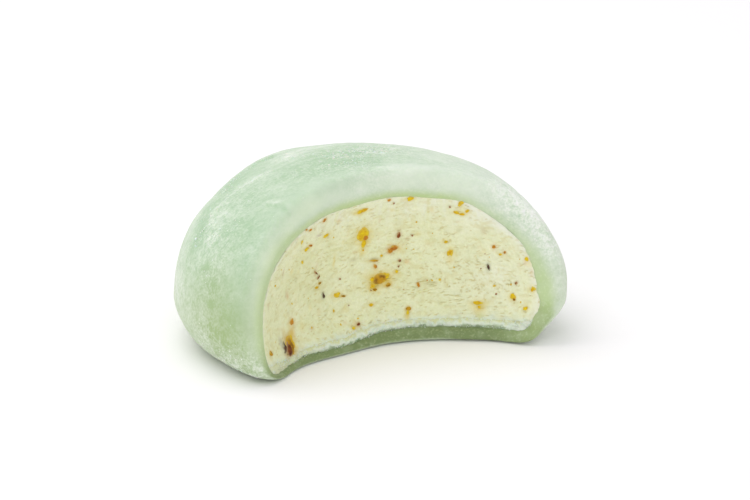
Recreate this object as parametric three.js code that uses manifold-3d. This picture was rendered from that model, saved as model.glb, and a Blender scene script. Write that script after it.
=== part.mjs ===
// A round rice-dough sweet filled with ice cream, 45 mm across, with one big bite taken out of its front.
// Millimetres, +Z up. The round base lies on z = 0 with its centre at the origin. The bite opens towards -Y.
// Three pieces run through the food: the stretched dough, the ice cream inside it, and the pale frosted
// layer that lies between the dough's floor and the ice cream.
import * as THREE from "three";
import { ParametricGeometry } from "three/addons/geometries/ParametricGeometry.js";
import { mergeVertices } from "three/addons/utils/BufferGeometryUtils.js";
import Module from "manifold-3d";

const wasm = await Module();
wasm.setup();

// The dome: a flattened ball that has sagged on its base.
const RADIUS = 23;
const HEIGHT = 21.1;
const WIDEST_AT = 5.2; // height of the widest ring
const CROWN_POWER = 2.9; // 2 is an ellipse, more is a flatter top with fuller shoulders
const SKIRT_POWER = 1.6; // the same for the side that tucks in below the widest ring
const SKIRT_DROP = 6.4; // how far under the floor the tucked side would close
const BASE_ROUNDING = 2; // softens the turn from the side to the flat base
const LEAN = { x: 0.2, y: 0.1 }; // how far the top has slumped from over the base
// A hand-pinched ball isn't round: each wave swells and draws in the side by part of the radius,
// all the way up or growing towards the top.
const WAVES = [
  { count: 2, swell: 0.015, facing: 88, grows: false },
  { count: 3, swell: 0.011, facing: -37, grows: false },
  { count: 2, swell: 0.06, facing: 77, grows: true },
];

// Where fingers left the soft side standing out, or pressed it in: how far, and over what distance.
const PRESSES = [
  { x: -6.5, y: 14.5, z: 18, out: 0.5, reach: 4.5 },
  { x: -16, y: 13, z: 13.5, out: -0.5, reach: 6 },
  { x: 20.3, y: -9, z: 9.5, out: 0.5, reach: 5 },
  { x: 18, y: -10.5, z: 1.8, out: -0.6, reach: 2.5 },
  { x: -17.5, y: -9.5, z: 0.7, out: 0.5, reach: 3 },
];

// The bite: an upright barrel cut, as an arch of teeth makes it.
const BITE = { x: 0.3, y: -23.4, radius: 19.8, flare: 0.43, bow: -0.025 };

// The layers, from the outside in.
const DOUGH = 2.7; // over the top and sides
// The dough is squeezed thinner where the sweet lies on it, most of all at the bite's left end.
const FLOOR_DOUGH = { left: 1, right: 1.65, from: -8, to: -2 };
const GAP = 0.3; // clearance that touching pieces keep
const FROST = 0.9; // thickness of the frosted layer over the dough's floor
const FROST_PROUD = 0.25; // how far its bitten edge stands out of the ice cream
const FROST_EDGE = 0.1; // half the height in which it does so
const FROST_CLIMB = { height: 2.2, power: 6 }; // how far it creeps up the wall, and how late it starts to
// How far behind the bite the dough's outer edge starts to roll over.
const LIP_ROLL = { wall: 1.7, floor: 0.6 };
const LIP_TUCK = 0.4; // how far behind the bite its inner edge meets the ice cream
const LIP_PUFF = 0.3; // how far the curve's handles reach past the bite, so that the lip fills out to it

// The soft hollows and humps that teeth leave on the bitten face: their height and how far apart they are.
const HUMPS = { height: 0.11, across: 4.8, up: 4.2 };

// The mesh: columns go round the bite's edge, rows go from the back to the front.
const COLUMNS = 80;
const BACK_ROWS = 17;
const LIP_ROWS = 5;
const INNER_ROWS = 13;
const FACE_ROWS = 9;
const FROST_ROWS = 14;
const FROST_COLUMNS = 48;
const SLOPE_STEP = 0.05; // how far apart the field is read for its slope
const WELD = 1e-4; // points closer than this are one
const HEART = { y: 5, z: 8.5 }; // a point inside the food that sees all of its outside
const FACE_MIDDLE = { turn: 0, z: 9.5 }; // where the columns meet on the bitten face

const COLOURS = { rice_skin: 0xc3dcc4, ice_cream: 0xdfe2b4, frost_layer: 0xdfeadb };

// ---- The shapes as fields: negative inside, near millimetres close to the surface ----

function smoothMax(a, b, width) {
  const near = Math.max(width - Math.abs(a - b), 0) / width;
  return Math.max(a, b) + (near * near * width) / 4;
}

function domeField(p) {
  const rise = p.z / HEIGHT;
  const x = p.x - LEAN.x * rise;
  const y = p.y - LEAN.y * rise;
  const facing = Math.atan2(y, x);
  let ring = RADIUS;
  for (const wave of WAVES) {
    const turn = facing - THREE.MathUtils.degToRad(wave.facing);
    ring += RADIUS * wave.swell * (wave.grows ? rise : 1) * Math.cos(wave.count * turn);
  }
  const share =
    p.z > WIDEST_AT
      ? ((p.z - WIDEST_AT) / (HEIGHT - WIDEST_AT)) ** CROWN_POWER
      : ((WIDEST_AT - p.z) / (WIDEST_AT + SKIRT_DROP)) ** SKIRT_POWER;
  let side = (((x * x + y * y) / ring ** 2 + share - 1) * RADIUS) / 2;
  for (const press of PRESSES) side -= press.out * Math.exp(-((p.distanceTo(press) / press.reach) ** 2));
  return smoothMax(side, -p.z, BASE_ROUNDING);
}

// How far a point is from the bite's barrel, positive in the food that is left.
const barrelRadius = (z) => BITE.radius + BITE.flare * z + BITE.bow * z * z;
const biteField = (p) => Math.hypot(p.x - BITE.x, p.y - BITE.y) - barrelRadius(p.z);

function bisect(sign, low, high) {
  for (let i = 0; i < 40; i++) {
    const middle = (low + high) / 2;
    if (sign(middle) > 0) low = middle;
    else high = middle;
  }
  return (low + high) / 2;
}

// ---- Points on the layers ----
// `around` turns about the axis that the bite looks along, and `swing` goes from the back pole to the front.

function outside(around, swing) {
  const way = new THREE.Vector3(
    Math.sin(swing) * Math.cos(around),
    Math.cos(swing),
    Math.sin(swing) * Math.sin(around),
  );
  const heart = new THREE.Vector3(0, HEART.y, HEART.z);
  const reach = bisect((t) => -domeField(heart.clone().addScaledVector(way, t)), 0, 2 * RADIUS);
  return heart.addScaledVector(way, reach);
}

function outward(p) {
  const slope = (axis) => {
    const ahead = p.clone();
    const behind = p.clone();
    ahead[axis] += SLOPE_STEP;
    behind[axis] -= SLOPE_STEP;
    return domeField(ahead) - domeField(behind);
  };
  return new THREE.Vector3(slope("x"), slope("y"), slope("z")).normalize();
}

function floorDough(x) {
  const share = THREE.MathUtils.smoothstep(x, FLOOR_DOUGH.from, FLOOR_DOUGH.to);
  return THREE.MathUtils.lerp(FLOOR_DOUGH.left, FLOOR_DOUGH.right, share);
}

// How much a face turned this way belongs to the floor, from 0 on the walls to 1 underneath.
const onFloor = (normal) => THREE.MathUtils.smoothstep(-normal.z, 0.2, 1);

// A point `share` of the dough's thickness under the outside, and `more` millimetres beyond that.
function under(around, swing, share, more = 0) {
  const p = outside(around, swing);
  const normal = outward(p);
  const dough = THREE.MathUtils.lerp(DOUGH, floorDough(p.x), onFloor(normal));
  return p.addScaledVector(normal, -share * dough - more);
}

// The swing at which a layer comes within `short` of the bite.
const rimSwing = (around, short, share, more) =>
  bisect((swing) => biteField(under(around, swing, share, more)) - short, Math.PI / 3, Math.PI);

// Joins the points along a surface's seams and at its poles.
function welded(geometry) {
  geometry.deleteAttribute("normal");
  geometry.deleteAttribute("uv");
  return mergeVertices(geometry, WELD);
}

// A closed surface from a rule that gives each column's points, both poles first and last.
function closedSurface(rows, columnPoints) {
  const columns = [];
  for (let i = 0; i < COLUMNS; i++) columns.push(columnPoints((2 * Math.PI * i) / COLUMNS));
  const pick = (u, v, target) =>
    target.copy(columns[Math.round(u * COLUMNS) % COLUMNS][Math.round(v * rows)]);
  return welded(new ParametricGeometry(pick, COLUMNS, rows));
}

// ---- The dough: over the back, round the lip and back along the inside ----

function doughColumn(around) {
  const corner = outside(around, rimSwing(around, 0, 0));
  const roll = THREE.MathUtils.lerp(LIP_ROLL.wall, LIP_ROLL.floor, onFloor(outward(corner)));
  const outerEnd = rimSwing(around, roll, 0);
  const innerEnd = rimSwing(around, LIP_TUCK, 1);
  const lip = new THREE.CubicBezierCurve3(
    under(around, outerEnd, 0),
    under(around, rimSwing(around, -LIP_PUFF, 0), 0),
    under(around, rimSwing(around, -LIP_PUFF, 1), 1),
    under(around, innerEnd, 1),
  );
  const points = [];
  for (let row = 0; row < BACK_ROWS; row++) points.push(under(around, (outerEnd * row) / BACK_ROWS, 0));
  for (let row = 0; row < LIP_ROWS; row++) points.push(lip.getPoint(row / LIP_ROWS));
  for (let row = INNER_ROWS; row >= 0; row--) points.push(under(around, (innerEnd * row) / INNER_ROWS, 1));
  return points;
}

// ---- The filling: under the dough at the back, and the bitten face in front ----

const frostTop = (x) => floorDough(x) + GAP + FROST;

// Soft hollows and humps of the bitten face, and the frosted edge that stands out of it.
function faceRelief(turn, z) {
  const across = turn * BITE.radius;
  const upright = Math.sin((2 * Math.PI * across) / HUMPS.across + Math.sin(z));
  const level = Math.sin((2 * Math.PI * (z - across / 3)) / HUMPS.up);
  const frosted = THREE.MathUtils.smoothstep(frostTop(across) + GAP / 2 - z, -FROST_EDGE, FROST_EDGE);
  return HUMPS.height * (upright + level) + FROST_PROUD * frosted;
}

function onFace(turn, z, out = 0) {
  const reach = barrelRadius(z) - out;
  return new THREE.Vector3(BITE.x + reach * Math.sin(turn), BITE.y + reach * Math.cos(turn), z);
}

function fillingColumn(around) {
  const doughEnd = rimSwing(around, LIP_TUCK, 1);
  const rim = under(around, rimSwing(around, 0, 1, GAP), 1, GAP);
  const points = [];
  for (let row = 0; row < INNER_ROWS; row++)
    points.push(under(around, (doughEnd * row) / INNER_ROWS, 1, GAP));
  points.push(rim);
  const rimTurn = Math.atan2(rim.x - BITE.x, rim.y - BITE.y);
  for (let row = FACE_ROWS - 1; row >= 0; row--) {
    const share = row / FACE_ROWS;
    const turn = FACE_MIDDLE.turn + (rimTurn - FACE_MIDDLE.turn) * share;
    const z = FACE_MIDDLE.z + (rim.z - FACE_MIDDLE.z) * share;
    points.push(onFace(turn, z, faceRelief(turn, z)));
  }
  return points;
}

// Everything under the frosted layer's top, which follows the dough's floor and creeps up at the wall.
function frostZone(lift) {
  const widest = RADIUS + 4;
  const below = -1;
  const profile = [new THREE.Vector2(0, below), new THREE.Vector2(widest, below)];
  for (let i = FROST_ROWS; i >= 0; i--) {
    const r = (widest * i) / FROST_ROWS;
    profile.push(new THREE.Vector2(r, lift + FROST_CLIMB.height * (r / RADIUS) ** FROST_CLIMB.power));
  }
  const zone = new THREE.LatheGeometry(profile, FROST_COLUMNS).rotateX(Math.PI / 2);
  const at = zone.getAttribute("position");
  for (let i = 0; i < at.count; i++) {
    if (at.getZ(i) > below / 2) at.setZ(i, at.getZ(i) + frostTop(at.getX(i)));
  }
  return zone;
}

// ---- The specks: bits of fruit and nut, half sunk in the bitten face ----

// The largest ones by hand: along the bite and up from the floor, then wide and tall.
const LARGE_SPECKS = [
  { along: -2.2, up: 13.1, wide: 1.5, tall: 2.1 },
  { along: 0.2, up: 7.1, wide: 1.6, tall: 1.8 },
  { along: -13.8, up: 3.9, wide: 1.3, tall: 1.5 },
  { along: 1.5, up: 10.8, wide: 1.2, tall: 0.8 },
  { along: -2.9, up: 16.1, wide: 1.3, tall: 0.7 },
  { along: -5, up: 6.2, wide: 1.1, tall: 0.8 },
  { along: 8.9, up: 15.2, wide: 1.6, tall: 0.8 },
  { along: 7.6, up: 9.9, wide: 0.8, tall: 1.2 },
  { along: 10.7, up: 4.3, wide: 1.4, tall: 0.7 },
  { along: 16.6, up: 6.4, wide: 0.8, tall: 0.8 },
];
const SMALL_SPECKS = 22;
const SMALL_SPECK = { least: 0.6, most: 0.85 };
const SPECK_DEPTH = 0.45; // thickness of a speck, half of it sunk
const SPECK_SPACING = 1.8;
const SPECK_TRIES = 4000;
// Where the small ones lie: this far to either side, from `low` up to `high`, which comes down to the sides
// so that it would close at `closes`.
const SPECK_FIELD = { along: 15.5, low: 4.4, high: 16.2, closes: 21.5 };

// A repeatable draw between 0 and 1.
function drawer(seed) {
  let state = seed;
  return () => {
    state = (state * 1664525 + 1013904223) % 4294967296;
    return state / 4294967296;
  };
}

function allSpecks() {
  const draw = drawer(7);
  const specks = [...LARGE_SPECKS];
  const wanted = LARGE_SPECKS.length + SMALL_SPECKS;
  for (let tries = 0; tries < SPECK_TRIES && specks.length < wanted; tries++) {
    const along = SPECK_FIELD.along * (2 * draw() - 1);
    const shrink = 1 - (along / SPECK_FIELD.closes) ** 2;
    const up = THREE.MathUtils.lerp(SPECK_FIELD.low, SPECK_FIELD.high * shrink, draw());
    const size = THREE.MathUtils.lerp(SMALL_SPECK.least, SMALL_SPECK.most, draw());
    if (specks.every((s) => Math.hypot(s.along - along, s.up - up) > SPECK_SPACING))
      specks.push({ along, up, wide: size, tall: size });
  }
  return specks;
}

function speckGeometry({ along, up, wide, tall }) {
  const turn = along / BITE.radius;
  return new THREE.IcosahedronGeometry(1, 0)
    .scale(wide / 2, SPECK_DEPTH / 2, tall / 2)
    .rotateZ(-turn)
    .translate(...onFace(turn, up, faceRelief(turn, up)));
}

// ---- Solids ----

function solidOf(geometry) {
  const whole = welded(geometry);
  return new wasm.Manifold(
    new wasm.Mesh({
      numProp: 3,
      vertProperties: whole.attributes.position.array,
      triVerts: new Uint32Array(whole.index.array),
    }),
  );
}

function geometryOf(solid) {
  const mesh = solid.getMesh();
  return new THREE.BufferGeometry()
    .setAttribute("position", new THREE.BufferAttribute(mesh.vertProperties, 3))
    .setIndex(new THREE.BufferAttribute(mesh.triVerts, 1));
}

const outerRows = BACK_ROWS + LIP_ROWS + INNER_ROWS;
const riceSkin = closedSurface(outerRows, doughColumn);
const filling = solidOf(closedSurface(INNER_ROWS + FACE_ROWS, fillingColumn));
const frost = filling.intersect(solidOf(frostZone(0)));
let iceCream = filling.subtract(solidOf(frostZone(GAP)));
for (const speck of allSpecks()) iceCream = iceCream.add(solidOf(speckGeometry(speck)));

function piece(name, geometry) {
  const material = new THREE.MeshStandardMaterial({ color: COLOURS[name], roughness: 0.8, metalness: 0 });
  const mesh = new THREE.Mesh(geometry, material);
  mesh.name = name;
  return mesh;
}

const sweet = new THREE.Group();
sweet.add(piece("rice_skin", riceSkin));
sweet.add(piece("ice_cream", geometryOf(iceCream)));
sweet.add(piece("frost_layer", geometryOf(frost)));

export default sweet;
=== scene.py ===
"""A rice-dough sweet filled with speckled ice cream, with one big bite taken out of its front.

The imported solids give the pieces, their places and their sizes. This script models the soft surfaces that
take the solids' places, from the same dome and the same bite, and finishes them.
Shapes are worked out in millimetres and set down in metres, +Z up. The bite opens towards -Y.
"""
import math

import bmesh
import bpy
import numpy as np
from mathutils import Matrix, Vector


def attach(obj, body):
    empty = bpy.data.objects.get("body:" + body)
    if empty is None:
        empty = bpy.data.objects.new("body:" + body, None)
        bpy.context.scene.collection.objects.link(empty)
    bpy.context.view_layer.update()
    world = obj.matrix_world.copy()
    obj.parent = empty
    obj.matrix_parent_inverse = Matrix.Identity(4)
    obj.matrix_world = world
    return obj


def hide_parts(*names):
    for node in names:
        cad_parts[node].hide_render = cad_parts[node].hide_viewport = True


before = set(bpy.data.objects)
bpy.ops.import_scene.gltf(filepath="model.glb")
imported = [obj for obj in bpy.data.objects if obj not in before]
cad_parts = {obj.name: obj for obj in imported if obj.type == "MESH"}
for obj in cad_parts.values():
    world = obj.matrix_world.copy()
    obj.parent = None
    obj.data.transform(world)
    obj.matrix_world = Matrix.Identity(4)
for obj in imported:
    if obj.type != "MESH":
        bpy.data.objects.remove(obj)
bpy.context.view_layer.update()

MM = 0.001
WELD = 1e-7  # metres; points closer than this are one
LEAST = 1e-6  # keeps a division from being by 0

# ---- The dome ----
RADIUS = 23.0
HEIGHT = 21.1
WIDEST_AT = 5.2
CROWN_POWER = 2.9  # 2 is an ellipse, more is a flatter top with fuller shoulders
SKIRT_POWER = 1.6
SKIRT_DROP = 6.4
BASE_ROUNDING = 2.0
LEAN = (0.2, 0.1)
WAVES = [  # count, swell as a share of the radius, facing in degrees, grows towards the top
    (2, 0.015, 88, False),
    (3, 0.011, -37, False),
    (2, 0.06, 77, True),
]
PRESSES = [  # where fingers left the side standing out or pressed it in: place, how far, over what distance
    ((-6.5, 14.5, 18), 0.5, 4.5),
    ((-16, 13, 13.5), -0.5, 6),
    ((20.3, -9, 9.5), 0.5, 5),
    ((18, -10.5, 1.8), -0.6, 2.5),
    ((-17.5, -9.5, 0.7), 0.5, 3),
    ((19.5, -5.8, 13.6), -0.42, 5.5),
    ((20.5, -8.3, 11.3), -0.22, 3),
    ((3.0, 9.3, 20.2), -0.2, 4),
    ((12.8, 6.4, 18.6), 0.22, 4.5),
    ((-16.8, 10.9, 13.3), 0.2, 3),
    ((-3.6, 14.5, 18.9), 0.18, 2.2),
]
HEART = np.array((0.0, 5.0, 8.5))  # a point inside the food that sees all of its outside

# ---- The bite, an upright barrel ----
BITE_X, BITE_Y, BITE_RADIUS = 0.3, -23.4, 19.8
BITE_FLARE, BITE_BOW = 0.43, -0.025
FOOT_FORWARD = {"along": -6.0, "reach": 5.5, "amount": 1.1, "full_up_to": 1.2, "none_from": 3.4}

# ---- The layers ----
WALL_DOUGH = 2.85
CROWN_DOUGH = 3.5
GATHERED_DOUGH = [  # where the dough is thicker: place, how much, over what distance
    ((20.3, -11.0, 8.8), 0.55, 3.2),
    ((19.8, -11.5, 5.0), 0.42, 2.8),
    ((19.0, -11.5, 2.2), -0.12, 1.8),
    ((19.3, -9.5, 12.0), -0.15, 4.0),
    ((10.0, -7.0, 19.0), -0.5, 3.2),
    ((-3.5, -5.0, 20.6), 0.42, 3.5),
    ((-8.0, -8.5, 19.5), 0.25, 4.0),
    ((-13.5, -7.5, 17.3), 0.55, 5.0),
    ((-17.0, -9.8, 12.0), 0.9, 4.8),
    ((-19.5, -11.5, 8.0), 0.5, 4.0),
]
FLOOR_DOUGH = {"left": 1.0, "right": 1.45, "between": (-4.5, 2.0)}
FLOOR_END = {"thinner": 0.35, "between": (-10, -14)}
FROST = {"left": 0.75, "right": 0.95, "between": (-10, 0)}
FACES_DOWN = (0.2, 1)  # how far down a surface faces where the wall goes over into the floor
FACES_UP = (0, 0.6)  # how far up it faces where the wall goes over into the top
LIP_ROLL = {"wall": 2.4, "floor": 0.9}
LIP_TUCK = 0.15
LIP_PUFF = 0.3
LIP_EASE = 0.35  # how softly the dough turns from its outside into the lip
LIP_STARCH_AND_LIGHT = 0.1  # how much more film the rolled edge gets: starch lying thicker there, and painted light where the roll turns away from the lamps
LIP_LIGHT = 0.52  # how much of the light that comes through the rolled edge shows
FOOT_SPREAD = {"low": 2.2, "high": 0.8}  # how far the handles pull the floor's lip forward
SPREAD_LEFT, SPREAD_MIDDLE, SPREAD_RIGHT = 0.5, 0.9, 0.6  # the last as a share of the middle
SUNK = 0.12  # how far a layer runs on, out of sight, into the one around it
INNER_SOFTNESS = 2.2  # the dough's inside follows only those bends of its outside that are wider than this


# ---- Small tools ----

def smooth_step(low, high, value):
    share = np.clip((value - low) / (high - low), 0, 1)
    return share * share * (3 - 2 * share)


def blend(first, second, share):
    return first + (second - first) * share


def hill(distance, width):
    """1 at no distance, falling softly to 0 at about twice the width."""
    return np.exp(-((distance / width) ** 2))


def smooth_max(a, b, width):
    near = np.clip(width - np.abs(a - b), 0, None) / width
    return np.maximum(a, b) + near * near * width / 4


def blob(points, centre, reach):
    """1 at the centre, falling softly to 0 at about twice the reach."""
    return np.exp(-np.sum((points - np.array(centre)) ** 2, axis=-1) / reach**2)


LATTICE = 32
HALVINGS = 36


def lumps(points, pitch, seed):
    """Soft random swellings between -1 and 1 that lie `pitch` millimetres apart."""
    table = np.random.default_rng(seed).uniform(-1, 1, (LATTICE,) * 3)
    scaled = points / pitch
    base = np.floor(scaled).astype(int)
    part = scaled - base
    part = part * part * (3 - 2 * part)
    total = 0.0
    for corner in np.ndindex(2, 2, 2):
        weight = np.prod(np.where(corner, part, 1 - part), axis=-1)
        at = (base + corner) % LATTICE
        total = total + weight * table[at[..., 0], at[..., 1], at[..., 2]]
    return total


def swellings(points, sets):
    """The sum of sets of lumps, each given by its height, pitch and seed."""
    return sum(height * lumps(points, pitch, seed) for height, pitch, seed in sets)


def add_up(table, shares):
    """The sum of each column of a table, each row times the share of the part that it is for."""
    columns = zip(*(table[part] for part in shares))
    return [sum(amount * share for amount, share in zip(column, shares.values())) for column in columns]


def distance_to_path(points, path):
    """How far each point is from the nearest stretch of a bent line."""
    nearest = np.full(points.shape[:-1], np.inf)
    for start, end in zip(path, path[1:]):
        start, along = np.array(start, float), np.subtract(end, start).astype(float)
        share = np.clip((points - start) @ along / (along @ along), 0, 1)
        foot = start + share[..., None] * along
        nearest = np.minimum(nearest, np.linalg.norm(points - foot, axis=-1))
    return nearest


def bisect(inside, low, high):
    """The value between low and high where `inside` stops being true, for every entry at once."""
    for _ in range(HALVINGS):
        middle = (low + high) / 2
        still = inside(middle)
        low = np.where(still, middle, low)
        high = np.where(still, high, middle)
    return (low + high) / 2


# ---- The shapes as fields: negative inside, near millimetres close to the surface ----

def dome_field(points):
    x, y, z = np.moveaxis(points, -1, 0)
    rise = z / HEIGHT
    x = x - LEAN[0] * rise
    y = y - LEAN[1] * rise
    facing = np.arctan2(y, x)
    ring = RADIUS
    for count, swell, towards, grows in WAVES:
        size = RADIUS * swell * (rise if grows else 1)
        ring = ring + size * np.cos(count * (facing - math.radians(towards)))
    crown = (np.clip(z - WIDEST_AT, 0, None) / (HEIGHT - WIDEST_AT)) ** CROWN_POWER
    skirt = (np.clip(WIDEST_AT - z, 0, None) / (WIDEST_AT + SKIRT_DROP)) ** SKIRT_POWER
    side = ((x * x + y * y) / ring**2 + crown + skirt - 1) * RADIUS / 2
    for place, out, reach in PRESSES:
        side = side - out * blob(points, place, reach)
    return smooth_max(side, -z, BASE_ROUNDING)


def bite_reach(along, up):
    """The bite's radius: it bellies out at mid height, and its foot stands forward left of the middle."""
    foot = FOOT_FORWARD
    forward = foot["amount"] * hill(along - foot["along"], foot["reach"])
    forward = forward * smooth_step(foot["none_from"], foot["full_up_to"], up)
    return BITE_RADIUS + BITE_FLARE * up + BITE_BOW * up * up - forward


def bite_field(points):
    """How far a point is from the bite's barrel, positive in the food that is left."""
    right, back = points[..., 0] - BITE_X, points[..., 1] - BITE_Y
    return np.hypot(right, back) - bite_reach(np.arctan2(right, back) * BITE_RADIUS, points[..., 2])


def outside(around, swing):
    """The dome's surface: `around` turns about the axis the bite looks along, `swing` runs from the back."""
    way = np.stack([np.sin(swing) * np.cos(around), np.cos(swing), np.sin(swing) * np.sin(around)], -1)
    reach = bisect(lambda t: dome_field(HEART + way * t[..., None]) < 0, np.zeros(way.shape[:-1]), 2 * RADIUS)
    return HEART + way * reach[..., None]


def outward(points, step=0.05):
    slopes = [dome_field(points + step * axis) - dome_field(points - step * axis) for axis in np.eye(3)]
    slope = np.stack(slopes, -1)
    return slope / np.linalg.norm(slope, axis=-1, keepdims=True)


def floor_dough(x):
    floor = blend(FLOOR_DOUGH["left"], FLOOR_DOUGH["right"], smooth_step(*FLOOR_DOUGH["between"], x))
    return floor - FLOOR_END["thinner"] * smooth_step(*FLOOR_END["between"], x)


def on_floor(normals):
    return smooth_step(*FACES_DOWN, -normals[..., 2])


def under(around, swing, share, more=0.0):
    """A point `share` of the dough's thickness under the outside, and `more` millimetres beyond that."""
    points = outside(around, swing)
    normals = outward(points, INNER_SOFTNESS)
    wall = blend(WALL_DOUGH, CROWN_DOUGH, smooth_step(*FACES_UP, normals[..., 2]))
    for place, amount, reach in GATHERED_DOUGH:
        wall = wall + amount * blob(points, place, reach)
    thick = blend(wall, floor_dough(points[..., 0]), on_floor(normals))
    return points - normals * (share * thick + more)[..., None]


def rim_swing(around, short, share, more=0.0):
    """The swing at which a layer comes within `short` of the bite. It lies between the top and the front."""
    none = np.zeros_like(around)
    first, last = none + math.pi / 3, none + math.pi
    return bisect(lambda swing: bite_field(under(around, swing, share, more)) > short, first, last)


# ---- Materials ----

def colour(hex_code):
    """An sRGB hex value as the linear colour that shaders take, by the sRGB curve."""
    parts = [int(hex_code[i : i + 2], 16) / 255 for i in (1, 3, 5)]
    linear = [p / 12.92 if p <= 0.04045 else ((p + 0.055) / 1.055) ** 2.4 for p in parts]
    return (*linear, 1.0)


def add(tree, kind, inputs, **settings):
    """Adds one node. Each input is a plain value or another node's output."""
    node = tree.nodes.new(kind)
    for name, value in settings.items():
        setattr(node, name, value)
    for socket, value in inputs.items():
        if isinstance(value, bpy.types.NodeSocket):
            tree.links.new(value, node.inputs[socket])
        else:
            node.inputs[socket].default_value = value
    return node


FACTOR, FIRST, SECOND, RESULT = 0, 6, 7, 2  # the colour sockets of a Mix node


def new_material(name, finish, *shades):
    """A material whose surface takes the settings that `finish` works out with nodes of its own."""
    material = bpy.data.materials.new(name)
    material.use_nodes = True
    tree = material.node_tree
    tree.nodes.clear()
    surface = add(tree, "ShaderNodeBsdfPrincipled", finish(tree, *shades))
    add(tree, "ShaderNodeOutputMaterial", {"Surface": surface.outputs["BSDF"]})
    return material


def per_metre(pitch):
    """The scale of a pattern whose features lie `pitch` millimetres apart."""
    return 1 / (pitch * MM)


LEAST_SMEAR = 0.06  # how uneven the film of starch is where it isn't gritty


def starched_rice_dough(tree):
    """Steamed glutinous rice dough, rolled out and dusted with potato starch. The starch is a matt white
    powder that lies in a thin film, with grains and smears; where it is thin the green, slightly see-through
    dough shows, and where the dough is bitten there is none and it is moist."""
    place = add(tree, "ShaderNodeTexCoord", {}).outputs["Object"]
    film, grit, olive_and_shade, cut, low, lit = (
        add(tree, "ShaderNodeAttribute", {}, attribute_name=name).outputs["Fac"]
        for name in ("film", "grit", "olive_and_shade", "cut", "low", "lit")
    )
    # Rolling draws the starch out into smears a little longer than wide.
    drawn = add(tree, "ShaderNodeMapping", {"Vector": place, "Scale": (0.75, 0.9, 1)}).outputs["Vector"]
    smear = add(
        tree,
        "ShaderNodeTexNoise",
        {"Vector": drawn, "Scale": per_metre(0.9), "Detail": 6, "Roughness": 0.65, "Distortion": 0.5},
    ).outputs["Fac"]
    # A starch grain is 0.05 mm wide, too fine to show; its clumps, 0.27 mm apart, are drawn instead.
    grain = add(
        tree, "ShaderNodeTexNoise", {"Vector": place, "Scale": per_metre(0.27), "Detail": 2, "Roughness": 0.6}
    ).outputs["Fac"]
    uneven = add(tree, "ShaderNodeMath", {0: grit, 1: LEAST_SMEAR}, operation="ADD").outputs[0]
    cover = film
    for noise, amount in ((smear, uneven), (grain, grit)):
        either_way = {"Value": noise, "From Min": 0.3, "From Max": 0.7, "To Min": -1}
        swing = add(tree, "ShaderNodeMapRange", either_way).outputs[0]
        inputs = {0: swing, 1: amount, 2: cover}
        cover = add(tree, "ShaderNodeMath", inputs, operation="MULTIPLY_ADD").outputs[0]
    thickly = add(tree, "ShaderNodeMapRange", {"Value": cover, "From Min": 0.9, "From Max": 1.6}).outputs[0]
    # Moist dough shows the mashed grains of rice as fine lighter points.
    point = add(tree, "ShaderNodeMapRange", {"Value": grain, "From Min": 0.54, "From Max": 0.76}).outputs[0]
    # Low down the moist dough is painted darker: partly its own deeper green where it is thick, partly
    # painted shade under the frost and where it faces down.
    mashed, whole = (
        add(
            tree, "ShaderNodeMix", {FACTOR: low, FIRST: colour(light), SECOND: colour(dark)}, data_type="RGBA"
        ).outputs[RESULT]
        for light, dark in (("#bed398", "#7b8d5a"), ("#cbdcab", "#a0ae83"))
    )
    moist = add(
        tree, "ShaderNodeMix", {FACTOR: point, FIRST: mashed, SECOND: whole}, data_type="RGBA"
    ).outputs[RESULT]
    skin = colour("#aac6a3")
    coats = (
        # the lower dough goes olive: partly its own colour where it is thick, partly painted shade
        (olive_and_shade, colour("#a3b982")),
        (cover, colour("#e3ebdc")),
        (thickly, colour("#fbfcf8")),
        (cut, moist),
        (lit, colour("#eaf6d8")),  # light comes through the dough where it rolls over at its lip
    )
    for share, shade in coats:
        skin = add(
            tree, "ShaderNodeMix", {FACTOR: share, FIRST: skin, SECOND: shade}, data_type="RGBA"
        ).outputs[RESULT]
    rough = add(tree, "ShaderNodeMapRange", {"Value": cut, "To Min": 0.85, "To Max": 0.5}).outputs[0]
    bump = add(tree, "ShaderNodeBump", {"Height": cover, "Strength": 0.4, "Distance": 0.08 * MM}).outputs[0]
    return {
        "Base Color": skin,
        "Roughness": rough,
        "Normal": bump,
        "IOR": 1.42,
        "Subsurface Weight": 0.3,
        "Subsurface Radius": (0.9, 1.1, 0.7),
        "Subsurface Scale": 0.7 * MM,
        "Sheen Weight": 0.2,
        "Sheen Roughness": 0.5,
    }


MEAN_NOISE = 0.5


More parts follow.
